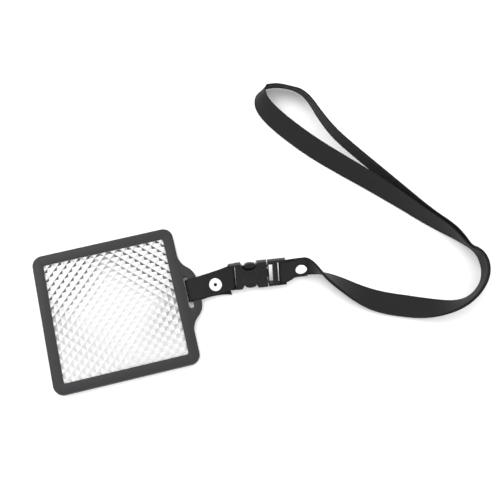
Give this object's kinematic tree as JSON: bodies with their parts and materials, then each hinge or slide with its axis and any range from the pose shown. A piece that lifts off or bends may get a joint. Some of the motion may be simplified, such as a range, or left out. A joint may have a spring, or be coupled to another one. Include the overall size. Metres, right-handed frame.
{
  "type": "white balance diffuser filter",
  "caption": "Square framed prismatic white-balance diffuser with a riveted webbing tether, a side-release buckle and a neck strap.",
  "frame": {"origin": "middle of the square plate, in the plane of its back face", "axes": "+X towards the tether tab, +Y up the plate, +Z out of the faceted face"},
  "size_m": [0.3099, 0.2051, 0.0176],
  "materials": {
    "frame_plastic": "fine matte moulding",
    "prism_acrylic": "clear prismatic acrylic",
    "white_diffuser": "white translucent sheet",
    "black_webbing": "flat woven polyester",
    "black_acetal": "satin moulding",
    "nickel": "bright nickel plate"
  },
  "bodies": {
    "plate": {"front_frame": "frame_plastic", "rear_frame": "frame_plastic", "prismatic_lens": "prism_acrylic", "diffuser_sheet": "white_diffuser"},
    "tether": {"tether_strap": "black_webbing", "tether_rivet_post": "nickel", "tether_rivet_cap": "nickel"},
    "socket": {"buckle_socket": "black_acetal"},
    "plug": {"buckle_plug": "black_acetal"},
    "arm_near": {"buckle_arm_near": "black_acetal"},
    "arm_far": {"buckle_arm_far": "black_acetal"},
    "neck": {"neck_strap_loop": "black_webbing", "neck_strap_inner": "black_webbing", "neck_strap_outer": "black_webbing", "neck_rivet_post": "nickel", "neck_rivet_cap": "nickel"}
  },
  "joints": [
    {"name": "tether_fold", "type": "hinge", "parent": "plate", "child": "tether", "pos_m": [0.0612, 0.00124, 0.0025], "axis": [0.0312, -0.9995, 0], "range_deg": [0, 90], "deforming": ["tether_strap"]},
    {"name": "socket_swing", "type": "hinge", "parent": "tether", "child": "socket", "pos_m": [0.08328, 0.00193, 0.0091], "axis": [-0.0874, -0.7017, -0.7071], "range_deg": [-40, 40]},
    {"name": "buckle_release", "type": "slide", "parent": "socket", "child": "plug", "axis": [0.9923, -0.1236, 0], "range_m": [0, 0.02], "deforming": ["buckle_arm_near", "buckle_arm_far"]},
    {"name": "arm_near_squeeze", "type": "hinge", "parent": "plug", "child": "arm_near", "pos_m": [0.10684, -0.00549, 0.00464], "axis": [0.0874, 0.7017, -0.7071], "range_deg": [0, 9], "stiffness_Nm_per_rad": 0.02},
    {"name": "arm_far_squeeze", "type": "hinge", "parent": "plug", "child": "arm_far", "pos_m": [0.10794, 0.00335, 0.01355], "axis": [-0.0874, -0.7017, 0.7071], "range_deg": [0, 9], "stiffness_Nm_per_rad": 0.02},
    {"name": "neck_swing", "type": "hinge", "parent": "plug", "child": "neck", "pos_m": [0.11841, -0.00245, 0.0091], "axis": [-0.0874, -0.7017, -0.7071], "range_deg": [-40, 50]}
  ]
}
